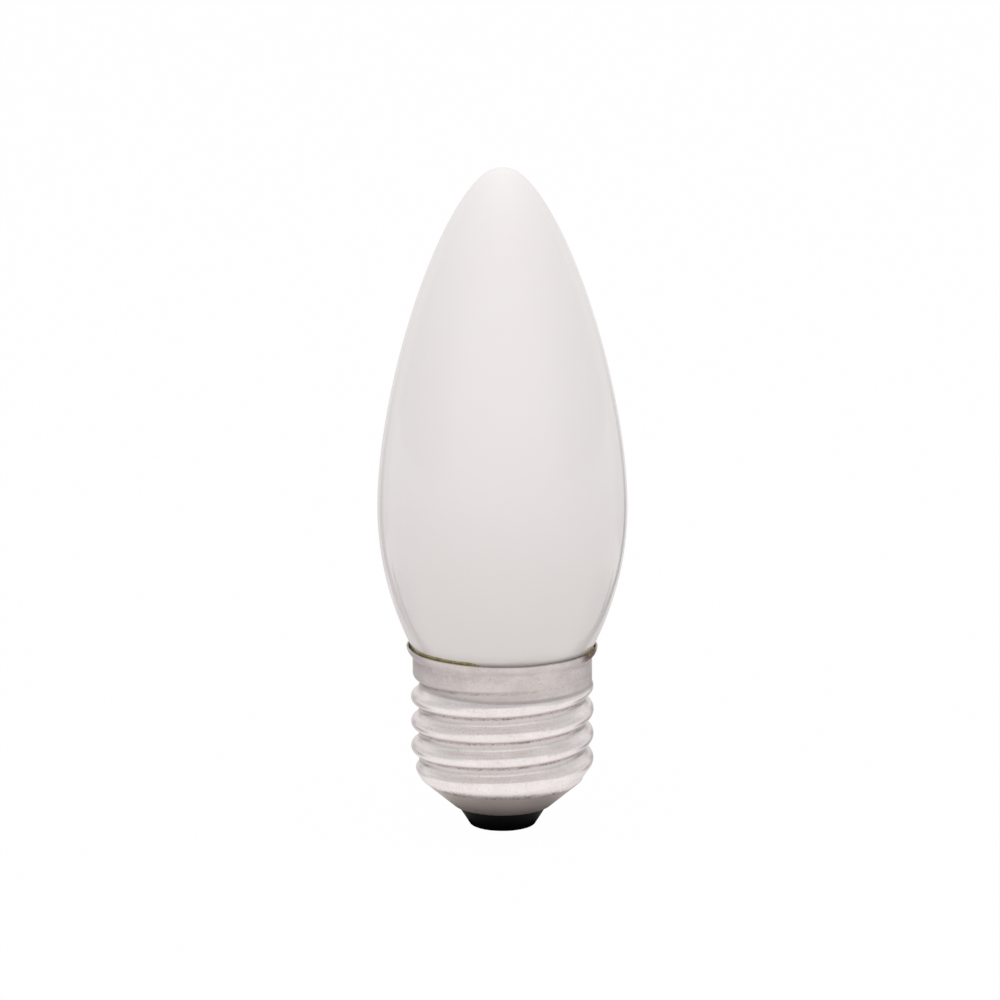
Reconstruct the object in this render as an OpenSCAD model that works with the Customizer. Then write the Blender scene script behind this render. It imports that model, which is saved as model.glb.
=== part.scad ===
// Opal candle lamp with a screw cap, standing on its centre contact, +Z up towards the tip

/* [Glass bulb] */
// Height of the tip above the centre contact
lamp_h = 95.3; // [91:0.1:104]
// Widest diameter of the glass
glass_d = 35.4; // [33:0.1:38]
// Height of the widest plane
belly_h = 47; // [44:0.5:50]
// Radius of the round tip
tip_r = 4.2; // [3.4:0.1:5.2]
// Angle above the horizontal at which the side becomes the tip
tip_angle = 50; // [42:0.5:58]
// Clearance between the glass and the collar at the foot of the lip
rim_gap = 0.36; // [0.32:0.02:0.6]
// Clearance between the glass and the lip at its edge
edge_gap = 0.32; // [0.3:0.02:0.6]
// Clearance between the neck and the tightest place of the shell
neck_gap = 2.1; // [1.6:0.1:3]
// Height below the lip over which the neck widens
neck_bend_h = 8.25; // [6:0.25:9.5]
// Height of the neck's lower end
neck_end_h = 9.6; // [9.2:0.1:12]
// Radius of the fire-polished edge of the neck's lower end
neck_edge_r = 0.5; // [0.2:0.05:0.6]
// Wall of the neck at its mouth
neck_wall = 1.3; // [1.2:0.1:1.8]
// Height of the seal where the leads leave the glass
seal_h = 21; // [19:0.5:23]
// Diameter of the flare at the seal
seal_d = 7.4; // [7:0.2:9]
// Diameter of the sealed exhaust tube
exhaust_d = 3.4; // [2.8:0.1:4]
// Length of the sealed exhaust tube
exhaust_l = 6.5; // [4:0.5:8]

/* [Screw shell] */
// Thickness of the aluminium sheet
shell_wall = 0.3; // [0.2:0.02:0.36]
// Outer diameter of the plain collar
collar_d = 25.6; // [25.4:0.05:26]
// Height at which the thread's crests have sunk to the collar
collar_h = 21.9; // [21.4:0.1:22.4]
// Height over which they sink
collar_step_h = 1.1; // [0.6:0.1:1.6]
// Height of the plain collar, from there to the foot of the lip
collar_plain_h = 3.45; // [2.8:0.05:4.2]
// Height of the flared lip
lip_flare_h = 1.65; // [1.2:0.05:2]
// How far the lip stands out of the collar
lip_flare = 0.82; // [0.75:0.02:1.1]
// Diameter of the cone's lower edge
cone_edge_d = 14.2; // [13:0.1:15]
// Height of the cone's lower edge
cone_edge_h = 3.7; // [3.4:0.1:4]
// Angle between the cone and the lamp's axis
cone_angle = 49.5; // [46:0.5:52]
// Diameter of the crease where the cone meets the shoulder of the thread
cone_top_d = 22.6; // [22:0.1:23.4]
// Radius of that shoulder, which ends upright at the crests' diameter
shoulder_r = 4; // [3:0.1:4.6]

/* [Thread] */
// Outer diameter over the crests
thread_d = 26.1; // [26.05:0.05:26.4]
// Pitch, seven turns to the inch
thread_pitch = 3.63; // [3.4:0.01:3.8]
// Depth of the thread
thread_depth = 1.1; // [0.9:0.05:1.3]
// Height of a crest on the +X side
crest_h = 14; // [13.5:0.1:14.5]
// Height of the groove where it starts
start_h = 7.7; // [7.4:0.1:8.4]
// Turns over which it reaches its full depth
start_turns = 0.5; // [0.3:0.05:0.7]
// How far the lowest crest sinks towards the groove's start
start_sink = 0.5; // [0.2:0.05:0.8]
// Height below the collar at which the last groove begins to fade out
fade_drop = 0.7; // [0.3:0.1:1.1]
// Turns over which the last groove fades out
fade_turns = 0.5; // [0.3:0.05:0.7]

/* [Cement] */
// Height of the cement below the place where the neck widens
cement_skirt_h = 1.1; // [0.5:0.1:2]
// Depth of the cement below the lip's edge
cement_depth = 0.5; // [0.3:0.05:0.8]
// Clearance of what is cast or moulded inside the shell
seat_gap = 0.06; // [0.03:0.01:0.1]

/* [Insulator] */
// Height of the insulator's lower face
insulator_h = 0.63; // [0.55:0.01:0.8]
// Diameter of the insulator's lower face
insulator_d = 9.3; // [8.6:0.1:9.8]
// Height to which the insulator fills the shell
insulator_top_h = 6.6; // [6:0.1:7]
// Width of the insulator's upper rim
insulator_rim_w = 0.9; // [0.6:0.1:1.4]
// Height of the insulator's floor round the eyelet
insulator_floor_h = 4.4; // [3.8:0.1:5]
// Diameter of the floor
insulator_floor_d = 6; // [5:0.2:8]

/* [Contacts] */
// Diameter of the contact plate
plate_d = 6.2; // [5:0.1:6.8]
// Thickness of the contact plate and of the eyelet's wall
plate_t = 0.35; // [0.25:0.01:0.4]
// Depth of the plate's seat in the insulator
plate_seat = 0.12; // [0.05:0.01:0.2]
// Outer diameter of the eyelet's barrel
eyelet_d = 2.1; // [1.8:0.1:2.6]
// Diameter of the eyelet's rolled end
eyelet_roll_d = 3.4; // [2.9:0.1:4.4]
// Diameter of the solder dome
solder_d = 3.8; // [2.6:0.1:4.6]
// Diameter of the dome's worn flat
solder_flat_d = 1.4; // [1:0.1:2]
// Height to which the solder fills the eyelet
solder_fill_h = 1.3; // [1:0.1:3]
// Diameter of the bead on the lip
weld_d = 1.6; // [1.2:0.1:2]
// Thickness of the bead on the lip
weld_t = 0.4; // [0.3:0.05:0.6]

/* [Lead wires] */
// Diameter of the lead wires
wire_d = 0.24; // [0.16:0.02:0.26]
// Clearance between a lead and the lip that it crosses
wire_gap = 0.02; // [0.01:0.01:0.04]
// Distance of each lead from the axis at the seal
wire_offset = 2.6; // [2.3:0.1:3]
// Distance of the side lead below and outside the neck's end
wire_loop = 0.8; // [0.5:0.1:1]

/* [Hidden] */
$fn = 64;

// Fineness of the arcs in an outline, of the shell's mesh and of the wires
ARC_STEPS = 16;
SHELL_COLUMNS = 48;
ROWS_PER_PITCH = 9;
WIRE_SIDES = 12;
// Handles of the side curve at the belly and at the tip, and of the neck's bend at both ends,
// each as a share of the straight distance between the curve's ends
BELLY_PULL_share = 0.315;
TIP_PULL_share = 0.192;
BEND_PULL_share = 0.35;
// Share of the lip's height that slopes, and share of the flare gained on it
LIP_SLOPE_share = 0.6;
LIP_SPREAD_share = 0.85;
// Share of the insulator's height at which the centre lead turns onto the axis
TURN_share = 1.5;

glass_r = glass_d / 2;
wire_r = wire_d / 2;
thread_r = thread_d / 2;
collar_r = collar_d / 2;
lip_foot_h = collar_h + collar_plain_h;
lip_h = lip_foot_h + lip_flare_h;
lip_slope_h = lip_foot_h + lip_flare_h * LIP_SLOPE_share;
lip_r = collar_r + lip_flare;
lip_slope_r = collar_r + lip_flare * LIP_SPREAD_share;

// Points on an arc as [radius, height], without the first, where the stretch before it ends
function arc(c, r, from, to) =
    [for (i = [1 : ARC_STEPS]) let (a = from + (to - from) * i / ARC_STEPS) c + r * [cos(a), sin(a)]];
// Points on a cubic curve from a to d with handles b and c, without the first
function curve(a, b, c, d) =
    [for (i = [1 : ARC_STEPS]) let (t = i / ARC_STEPS, s = 1 - t)
        s ^ 3 * a + 3 * s ^ 2 * t * b + 3 * s * t ^ 2 * c + t ^ 3 * d];
function smooth(t) = let (s = max(0, min(1, t))) s * s * (3 - 2 * s);

// Round thread: crests and roots have the same radius and meet where both slope alike
thread_slope = 2 * atan(2 * thread_depth / thread_pitch);
thread_arc_r = thread_pitch / (4 * sin(thread_slope));
crest_c_r = thread_r - thread_arc_r;
root_c_r = thread_r - thread_depth + thread_arc_r;
// Radius of the sheet's roots for an offset t into the sheet, and the free radius inside the shell
function root_r(t) = thread_r - thread_depth - t;
shell_bore_r = root_r(shell_wall) + min(0, collar_r - thread_r);
neck_r = shell_bore_r - neck_gap;

// Upper glass outline: upright at the widest plane, one curve to the round tip
belly_p = [glass_r, belly_h];
tip_c = [0, lamp_h - tip_r];
tip_p = tip_c + tip_r * [cos(tip_angle), sin(tip_angle)];
side_l = norm(tip_p - belly_p);
function upper_outline() = concat(
    curve(belly_p,
          belly_p + [0, BELLY_PULL_share * side_l],
          tip_p + TIP_PULL_share * side_l * [sin(tip_angle), -cos(tip_angle)],
          tip_p),
    arc(tip_c, tip_r, tip_angle, 90));

// Lower glass outline: one arc from the widest plane to the lip's edge
edge_r = lip_r - shell_wall - edge_gap;
edge_drop = belly_h - lip_h;
lower_arc_r = ((glass_r - edge_r) ^ 2 + edge_drop ^ 2) / (2 * (glass_r - edge_r));
lower_angle = asin(edge_drop / lower_arc_r);
lower_c = [glass_r - lower_arc_r, belly_h];
function lower_outline() = concat([[edge_r, lip_h]], arc(lower_c, lower_arc_r, -lower_angle, 0));

// Inside the lip the glass keeps its clearance, and below it bends into the upright neck
rim_r = collar_r - shell_wall - rim_gap;
rim_p = [rim_r, lip_foot_h];
rim_along = ([edge_r, lip_h] - rim_p) / norm([edge_r, lip_h] - rim_p);
bend_p = [neck_r, lip_foot_h - neck_bend_h];
bend_l = norm(rim_p - bend_p);
bend_curve = curve(bend_p,
                   bend_p + [0, BEND_PULL_share * bend_l],
                   rim_p - BEND_PULL_share * bend_l * rim_along,
                   rim_p);
function under_rim_outline() = concat([bend_p], bend_curve);
// Radius of the glass at a height inside the lip
function rim_glass_r(z) = rim_r + (z - lip_foot_h) / (lip_h - lip_foot_h) * (edge_r - rim_r);

// Blown bulb, its neck and the re-entrant flare with the sealed exhaust tube
module glass_bulb() {
    mouth_r = neck_r - neck_wall;
    exhaust_r = exhaust_d / 2;
    exhaust_end_h = seal_h - exhaust_l;
    color("whitesmoke")
    rotate_extrude() polygon(concat(
        [[0, exhaust_end_h]],
        arc([0, exhaust_end_h + exhaust_r], exhaust_r, -90, 0),
        [[exhaust_r, seal_h], [seal_d / 2, seal_h]],
        [[mouth_r, neck_end_h], [neck_r - neck_edge_r, neck_end_h]],
        arc([neck_r - neck_edge_r, neck_end_h + neck_edge_r], neck_edge_r, -90, 0),
        under_rim_outline(),
        lower_outline(),
        upper_outline()));
}

// Baked cement between the neck and the shell, down to inside the thread
module cap_cement() {
    low_h = bend_p.y - cement_skirt_h;
    top_h = lip_h - cement_depth;
    slope = (lip_slope_r - collar_r) / (lip_slope_h - lip_foot_h);
    shell_in_r = collar_r - shell_wall - seat_gap;
    thread_in_r = shell_bore_r - seat_gap;
    top_r = min(shell_in_r + (top_h - lip_foot_h) * slope, shell_in_r + lip_flare * LIP_SPREAD_share);
    slope_end_h = min(top_h, lip_slope_h);
    color("darkkhaki")
    difference() {
        rotate_extrude() polygon(concat(
            [[thread_in_r, low_h], [neck_r, low_h]],
            under_rim_outline(),
            [[rim_glass_r(top_h), top_h],
             [top_r, top_h],
             [top_r, slope_end_h],
             [shell_in_r, lip_foot_h],
             [shell_in_r, thread_top_h],
             [thread_in_r, collar_h]]));
        side_lead_wire();
    }
}

// Rolled sheet: each face is a radius at a turn and a height, for an offset t into the sheet
// Radius of the endless thread at an axial distance a from the nearest crest
function thread_at(a, t) =
    let (crest = thread_arc_r - t, root = thread_arc_r + t)
    a <= thread_pitch / 2 * crest / (2 * thread_arc_r)
        ? crest_c_r + sqrt(crest ^ 2 - a ^ 2)
        : root_c_r - sqrt(root ^ 2 - (thread_pitch / 2 - a) ^ 2);

// Lower cone and, above its crease, the shoulder that rounds it into the crests' diameter
cone_edge_r = cone_edge_d / 2;
cone_top_r = cone_top_d / 2;
cone_top_h = cone_edge_h + (cone_top_r - cone_edge_r) / tan(cone_angle);
shoulder_c = [thread_r - shoulder_r,
              cone_top_h + sqrt(shoulder_r ^ 2 - (cone_top_r - thread_r + shoulder_r) ^ 2)];
function cone_at(z, t) =
    let (straight = cone_edge_r + (z - cone_edge_h) * tan(cone_angle) - t / cos(cone_angle),
         r = shoulder_r - t,
         square = r ^ 2 - (shoulder_c.y - z) ^ 2,
         rounded = square > 0 ? shoulder_c.x + sqrt(square) : 0)
    z < shoulder_c.y - r * sin(cone_angle) ? max(straight, rounded) : rounded;

// Lip: a straight flare that ends upright
function lip_at(z) =
    z < lip_slope_h
        ? collar_r + max(0, z - lip_foot_h) / (lip_slope_h - lip_foot_h) * (lip_slope_r - collar_r)
        : lip_slope_r + (z - lip_slope_h) / (lip_h - lip_slope_h) * (lip_r - lip_slope_r);

// Share of its full depth that the groove has gained, and lost again, where its middle is at a height
function begun(z) = smooth((z - start_h) / (start_turns * thread_pitch));
function ended(z) = smooth((z - collar_h + fade_drop) / (fade_turns * thread_pitch));

// Groove and sunk crest are rolled into the shoulder and the straight part, and the cone stays plain
function shell_r(turn, z, t) =
    let (w = (z - crest_h) / thread_pitch - turn,
         phase = w - floor(w),
         a = min(phase, 1 - phase) * thread_pitch,
         crest_below_h = z - phase * thread_pitch,
         groove_h = crest_below_h + thread_pitch / 2,
         depth = (thread_r - t - thread_at(a, t)) * begun(groove_h) * (1 - ended(groove_h)),
         below = (1 - begun(crest_below_h)) * (1 - smooth(2 * phase)),
         above = (1 - begun(crest_below_h + thread_pitch)) * smooth(2 * phase - 1),
         rolled = smooth((z - cone_top_h) / (thread_pitch / 4)),
         sunk = smooth((z - collar_h + collar_step_h) / collar_step_h),
         plain = z < shoulder_c.y ? cone_at(z, t)
             : thread_r - t + (collar_r - thread_r) * sunk + lip_at(z) - collar_r)
    plain - (depth + start_sink * (below + above)) * rolled;

// Heights of the shell's rings: close together over the thread and its run-outs, few elsewhere
thread_top_h = collar_h - fade_drop + thread_pitch * (fade_turns + 1 / 4);
thread_rows = ceil((thread_top_h - cone_top_h) / thread_pitch * ROWS_PER_PITCH);
shell_heights = concat(
    [cone_edge_h],
    [for (i = [0 : thread_rows]) cone_top_h + (thread_top_h - cone_top_h) * i / thread_rows],
    [lip_foot_h, lip_slope_h, lip_h]);

// Points of one face of the sheet, ring by ring, and the number of a point in ring i and column j
function sheet_points(t) = [for (z = shell_heights, j = [0 : SHELL_COLUMNS - 1])
    let (turn = j / SHELL_COLUMNS, r = shell_r(turn, z, t))
    [r * cos(360 * turn), r * sin(360 * turn), z]];
function at(i, j) = i * SHELL_COLUMNS + j % SHELL_COLUMNS;
// Two triangles of a cell, split along the rising helix
function cell(a, b, c, d) = [[a, b, c], [a, c, d]];

// Aluminium cap, drawn and rolled from one sheet
module screw_shell() {
    top = len(shell_heights) - 1;
    columns = [0 : SHELL_COLUMNS - 1];
    inner = len(shell_heights) * SHELL_COLUMNS;
    outside = [for (i = [0 : top - 1], j = columns)
        each cell(at(i, j), at(i + 1, j), at(i + 1, j + 1), at(i, j + 1))];
    inside = [for (i = [0 : top - 1], j = columns)
        each cell(inner + at(i, j), inner + at(i, j + 1), inner + at(i + 1, j + 1), inner + at(i + 1, j))];
    lower_edge = [for (j = columns)
        each cell(at(0, j), at(0, j + 1), inner + at(0, j + 1), inner + at(0, j))];
    upper_edge = [for (j = columns)
        each cell(at(top, j), inner + at(top, j), inner + at(top, j + 1), at(top, j + 1))];
    color("silver")
    polyhedron(
        concat(sheet_points(0), sheet_points(shell_wall)),
        concat(outside, inside, lower_edge, upper_edge),
        convexity = 8);
}

// Black glass moulded into the cone, dished inside round the eyelet
insulator_edge_r = cone_at(cone_edge_h, shell_wall) - seat_gap;
plate_seat_h = insulator_h + plate_seat;
plate_low_h = plate_seat_h - plate_t;
module cap_insulator() {
    top_r = min(cone_at(insulator_top_h, shell_wall), shell_bore_r) - seat_gap;
    color([0.05, 0.05, 0.05])
    rotate_extrude() polygon([
        [eyelet_d / 2, plate_seat_h],
        [plate_d / 2, plate_seat_h],
        [plate_d / 2, insulator_h],
        [insulator_d / 2, insulator_h],
        [insulator_edge_r, cone_edge_h],
        [top_r, insulator_top_h],
        [top_r - insulator_rim_w, insulator_top_h],
        [insulator_floor_d / 2, insulator_floor_h],
        [eyelet_d / 2, insulator_floor_h]]);
}

// Brass eyelet: plate below, barrel through the insulator, end rolled over on its floor
eyelet_bore_r = eyelet_d / 2 - plate_t;
module centre_contact() {
    roll_h = insulator_floor_h + plate_t;
    color("goldenrod")
    rotate_extrude() polygon([
        [eyelet_bore_r, plate_low_h],
        [plate_d / 2, plate_low_h],
        [plate_d / 2, plate_seat_h],
        [eyelet_d / 2, plate_seat_h],
        [eyelet_d / 2, insulator_floor_h],
        [eyelet_roll_d / 2, insulator_floor_h],
        [eyelet_roll_d / 2, roll_h],
        [eyelet_bore_r, roll_h]]);
}

// Solder: a low dome with a worn flat, and the plug that it makes in the eyelet
module centre_solder() {
    dome_r = solder_d / 2;
    flat_r = solder_flat_d / 2;
    // Dome through the plate's face and the flat's edge
    ball_r = sqrt(dome_r ^ 2 + ball_centre_h(dome_r, flat_r) ^ 2);
    ball_h = plate_low_h + ball_centre_h(dome_r, flat_r);
    flat_angle = -acos(flat_r / ball_r);
    edge_angle = -acos(dome_r / ball_r);
    color("lightgray")
    rotate_extrude() polygon(concat(
        [[0, 0], [flat_r, 0]],
        arc([0, ball_h], ball_r, flat_angle, edge_angle),
        [[eyelet_bore_r, plate_low_h], [eyelet_bore_r, solder_fill_h], [0, solder_fill_h]]));
}
// Height above the plate's face of the centre of the ball that gives the dome
function ball_centre_h(dome_r, flat_r) = (dome_r ^ 2 - flat_r ^ 2 - plate_low_h ^ 2) / (2 * plate_low_h);

// Bead on the lip's edge, on the +Y side
weld_y = lip_r + seat_gap;
module side_weld() {
    ball_r = ((weld_d / 2) ^ 2 + weld_t ^ 2) / (2 * weld_t);
    color("dimgray")
    difference() {
        translate([0, weld_y, lip_h]) rotate([-90, 0, 0]) intersection() {
            translate([0, 0, weld_t - ball_r]) sphere(ball_r);
            cylinder(h = ball_r, r = ball_r);
        }
        side_lead_wire();
    }
}

// Direction across the wire at a point of its route, as long as the mitre there needs
function unit(v) = v / norm(v);
function mitre(route, i) =
    let (last = len(route) - 1,
         before = unit(route[max(i, 1)] - route[max(i, 1) - 1]),
         after = unit(route[min(i, last - 1) + 1] - route[min(i, last - 1)]),
         along = unit(before + after))
    [-along.y, along.x] / (along * before);

// Round wire along a route of [y, z] points in the plane x = 0, mitred at its bends
module wire(route) {
    last = len(route) - 1;
    sides = [0 : WIRE_SIDES - 1];
    points = [for (i = [0 : last], k = sides)
        let (a = 360 * k / WIRE_SIDES, p = route[i] + wire_r * sin(a) * mitre(route, i))
        [wire_r * cos(a), p.x, p.y]];
    skin = [for (i = [0 : last - 1], k = sides)
        let (low = i * WIRE_SIDES, high = low + WIRE_SIDES, next = (k + 1) % WIRE_SIDES)
        [low + next, high + next, high + k, low + k]];
    start = [for (k = sides) WIRE_SIDES - 1 - k];
    end = [for (k = sides) last * WIRE_SIDES + k];
    polyhedron(points, concat([start, end], skin), convexity = 4);
}

// Lead from the seal to the eyelet
module centre_lead_wire() {
    color("peru") wire([
        [-wire_offset, seal_h],
        [-wire_offset, neck_end_h],
        [0, insulator_floor_h * TURN_share],
        [0, solder_fill_h]]);
}

// Lead from the seal, round the neck's end, up between the glass and the shell and over the lip
module side_lead_wire() {
    loop_h = neck_end_h - wire_loop;
    loop_y = neck_r + wire_loop;
    middle = bend_curve[ARC_STEPS / 2 - 1];
    foot_y = rim_r + rim_gap / 2;
    edge_y = edge_r + edge_gap / 2;
    over_h = lip_h + wire_r + wire_gap;
    over_y = edge_y + (over_h - lip_h) * (edge_y - foot_y) / (lip_h - lip_foot_h);
    color("peru") wire([
        [wire_offset, seal_h],
        [wire_offset, neck_end_h],
        [neck_r - neck_wall, loop_h],
        [loop_y, loop_h],
        [loop_y, bend_p.y],
        [max(loop_y, middle.x + rim_gap / 2), middle.y],
        [foot_y, lip_foot_h],
        [over_y, over_h],
        [weld_y + weld_t / 2, over_h]]);
}

glass_bulb();
cap_cement();
screw_shell();
cap_insulator();
centre_contact();
centre_solder();
side_weld();
centre_lead_wire();
side_lead_wire();
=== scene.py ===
from math import acos, atan, cos, hypot, pi, radians, sin, sqrt, tan

import bpy
import numpy as np
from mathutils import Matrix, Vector, noise


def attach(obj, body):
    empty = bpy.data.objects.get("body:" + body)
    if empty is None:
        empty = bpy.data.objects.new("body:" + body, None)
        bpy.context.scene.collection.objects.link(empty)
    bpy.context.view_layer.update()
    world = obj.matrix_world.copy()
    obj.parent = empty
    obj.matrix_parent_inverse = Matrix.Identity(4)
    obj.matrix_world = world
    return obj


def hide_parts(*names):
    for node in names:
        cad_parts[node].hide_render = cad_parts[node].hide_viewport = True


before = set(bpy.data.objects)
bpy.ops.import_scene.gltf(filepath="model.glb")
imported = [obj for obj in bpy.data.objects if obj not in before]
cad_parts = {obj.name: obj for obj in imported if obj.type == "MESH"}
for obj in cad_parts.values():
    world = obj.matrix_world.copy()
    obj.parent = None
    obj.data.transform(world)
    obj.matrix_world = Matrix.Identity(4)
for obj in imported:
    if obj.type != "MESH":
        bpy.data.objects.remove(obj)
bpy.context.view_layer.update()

# Sizes of the lamp, in millimetres, with the names that the part's source gives them
MM = 0.001
LAMP_H, GLASS_D, BELLY_H = 95.3, 35.4, 47.0
TIP_R, TIP_ANGLE = 4.2, radians(50)
RIM_GAP, EDGE_GAP, NECK_GAP, NECK_BEND_H = 0.36, 0.32, 2.1, 8.25
NECK_END_H, NECK_EDGE_R, NECK_WALL = 9.6, 0.5, 1.3
SEAL_H, SEAL_D, EXHAUST_D, EXHAUST_L = 21.0, 7.4, 3.4, 6.5
BELLY_PULL, TIP_PULL, BEND_PULL = 0.315, 0.192, 0.35

SHELL_WALL, COLLAR_D, COLLAR_H, COLLAR_STEP_H, COLLAR_PLAIN_H = 0.3, 25.6, 21.9, 1.1, 3.45
LIP_FLARE_H, LIP_FLARE, LIP_SLOPE, LIP_SPREAD, LIP_ROUND = 1.65, 0.82, 0.6, 0.85, 0.22
CONE_EDGE_D, CONE_EDGE_H, CONE_ANGLE, CONE_TOP_D, SHOULDER_R = 14.2, 3.7, radians(49.5), 22.6, 4.0
THREAD_D, THREAD_PITCH, THREAD_DEPTH, CREST_H = 26.1, 3.63, 1.1, 14.0
FADE_DROP, FADE_TURNS, START_H, START_TURNS, START_SINK = 0.7, 0.5, 7.7, 0.5, 0.5

CEMENT_SKIRT_H, CEMENT_DEPTH, SEAT_GAP = 1.1, 0.5, 0.06
INSULATOR_H, INSULATOR_D, INSULATOR_TOP_H, INSULATOR_RIM_W = 0.63, 9.3, 6.6, 0.9
INSULATOR_FLOOR_H, INSULATOR_FLOOR_D = 4.4, 6.0
PLATE_D, PLATE_T, PLATE_SEAT, EYELET_D, EYELET_ROLL_D = 6.2, 0.35, 0.12, 2.1, 3.4
SOLDER_D, SOLDER_FLAT_D, SOLDER_FILL_H, WELD_D, WELD_T = 3.8, 1.4, 1.3, 1.6, 0.4

glass_r = GLASS_D / 2
thread_r = THREAD_D / 2
collar_r = COLLAR_D / 2
lip_foot_h = COLLAR_H + COLLAR_PLAIN_H
lip_h = lip_foot_h + LIP_FLARE_H
lip_r = collar_r + LIP_FLARE


# Outlines: points as (radius, height), arcs and curves without their first point
def arc(centre, r, start, end, steps):
    return [(centre[0] + r * cos(a), centre[1] + r * sin(a))
            for a in (start + (end - start) * i / steps for i in range(1, steps + 1))]


def curve(a, b, c, d, steps):
    a, b, c, d = (np.array(p, float) for p in (a, b, c, d))
    points = []
    for i in range(1, steps + 1):
        t = i / steps
        s = 1 - t
        points.append(tuple(s ** 3 * a + 3 * s * s * t * b + 3 * s * t * t * c + t ** 3 * d))
    return points


def smooth(t):
    s = np.clip(t, 0, 1)
    return s * s * (3 - 2 * s)


def wobble(x, y, z, size, seed=0.0):
    """Soft noise from about -1 to 1 at a point in millimetres, with features of that size."""
    return noise.noise(Vector((x / size + seed, y / size - seed, z / size + 2 * seed)))


# Screw shell as the part's source gives it, for arrays of turns and heights
thread_slope = 2 * atan(2 * THREAD_DEPTH / THREAD_PITCH)
thread_arc_r = THREAD_PITCH / (4 * sin(thread_slope))
crest_c_r = thread_r - thread_arc_r
root_c_r = thread_r - THREAD_DEPTH + thread_arc_r
shell_bore_r = thread_r - THREAD_DEPTH - SHELL_WALL + min(0, collar_r - thread_r)
cone_edge_r = CONE_EDGE_D / 2
cone_top_r = CONE_TOP_D / 2
cone_top_h = CONE_EDGE_H + (cone_top_r - cone_edge_r) / tan(CONE_ANGLE)
shoulder_c = (thread_r - SHOULDER_R,
              cone_top_h + sqrt(SHOULDER_R ** 2 - (cone_top_r - thread_r + SHOULDER_R) ** 2))


def thread_at(a, t):
    crest, root = thread_arc_r - t, thread_arc_r + t
    on_crest = crest_c_r + np.sqrt(np.maximum(crest ** 2 - a ** 2, 0))
    on_root = root_c_r - np.sqrt(np.maximum(root ** 2 - (THREAD_PITCH / 2 - a) ** 2, 0))
    return np.where(a <= THREAD_PITCH / 2 * crest / (2 * thread_arc_r), on_crest, on_root)


def cone_at(z, t):
    """The cone and, above its crease, the shoulder that rounds it into the crests' diameter."""
    r = SHOULDER_R - t
    straight = cone_edge_r + (z - CONE_EDGE_H) * tan(CONE_ANGLE) - t / cos(CONE_ANGLE)
    square = r ** 2 - (shoulder_c[1] - z) ** 2
    rounded = np.where(square > 0, shoulder_c[0] + np.sqrt(np.maximum(square, 0)), 0)
    return np.where(z < shoulder_c[1] - r * sin(CONE_ANGLE), np.maximum(straight, rounded), rounded)


def lip_at(z):
    """Collar and flare: straight stretches, each point an average over a small height to round the bends."""
    heights = [lip_foot_h, lip_foot_h + LIP_SLOPE * LIP_FLARE_H, lip_h]
    radii = [collar_r, collar_r + LIP_SPREAD * LIP_FLARE, lip_r]
    return sum(np.interp(z + LIP_ROUND * k, heights, radii) for k in (-1, -0.5, 0, 0.5, 1)) / 5


def begun(z):
    return smooth((z - START_H) / (START_TURNS * THREAD_PITCH))


def ended(z):
    return smooth((z - COLLAR_H + FADE_DROP) / (FADE_TURNS * THREAD_PITCH))


def shell_at(turn, z, t):
    """Radius of the sheet at an offset t into it, how deep the groove is, and the place in the pitch."""
    w = (z - CREST_H) / THREAD_PITCH - turn
    phase = w - np.floor(w)
    a = np.minimum(phase, 1 - phase) * THREAD_PITCH
    crest_below_h = z - phase * THREAD_PITCH
    groove_h = crest_below_h + THREAD_PITCH / 2
    rolled = smooth((z - cone_top_h) / (THREAD_PITCH / 4))
    groove = begun(groove_h) * (1 - ended(groove_h)) * rolled
    below = (1 - begun(crest_below_h)) * (1 - smooth(2 * phase))
    above = (1 - begun(crest_below_h + THREAD_PITCH)) * smooth(2 * phase - 1)
    sunk = smooth((z - COLLAR_H + COLLAR_STEP_H) / COLLAR_STEP_H)
    upper = thread_r - t + (collar_r - thread_r) * sunk + lip_at(z) - collar_r
    plain = np.where(z < shoulder_c[1], cone_at(np.minimum(z, shoulder_c[1]), t), upper)
    radius = plain - (thread_r - t - thread_at(a, t)) * groove - START_SINK * (below + above) * rolled
    return radius, groove, 2 * pi * phase


# Glass outline
belly_p = (glass_r, BELLY_H)
tip_c = (0.0, LAMP_H - TIP_R)
tip_p = (tip_c[0] + TIP_R * cos(TIP_ANGLE), tip_c[1] + TIP_R * sin(TIP_ANGLE))
side_l = hypot(tip_p[0] - belly_p[0], tip_p[1] - belly_p[1])
edge_r = lip_r - SHELL_WALL - EDGE_GAP
edge_drop = BELLY_H - lip_h
lower_arc_r = ((glass_r - edge_r) ** 2 + edge_drop ** 2) / (2 * (glass_r - edge_r))
rim_r = collar_r - SHELL_WALL - RIM_GAP
rim_l = hypot(edge_r - rim_r, LIP_FLARE_H)
rim_along = ((edge_r - rim_r) / rim_l, LIP_FLARE_H / rim_l)
neck_r = shell_bore_r - NECK_GAP
bend_p = (neck_r, lip_foot_h - NECK_BEND_H)
bend_l = hypot(rim_r - bend_p[0], lip_foot_h - bend_p[1])


def glass_at(z):
    """Radius of the glass between the foot of the lip and its widest plane."""
    if z < lip_h:
        return rim_r + (z - lip_foot_h) / LIP_FLARE_H * (edge_r - rim_r)
    return glass_r - lower_arc_r + sqrt(lower_arc_r ** 2 - (BELLY_H - z) ** 2)


def bend_outline(steps):
    return [bend_p] + curve(
        bend_p,
        (bend_p[0], bend_p[1] + BEND_PULL * bend_l),
        (rim_r - BEND_PULL * bend_l * rim_along[0], lip_foot_h - BEND_PULL * bend_l * rim_along[1]),
        (rim_r, lip_foot_h),
        steps)


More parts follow.
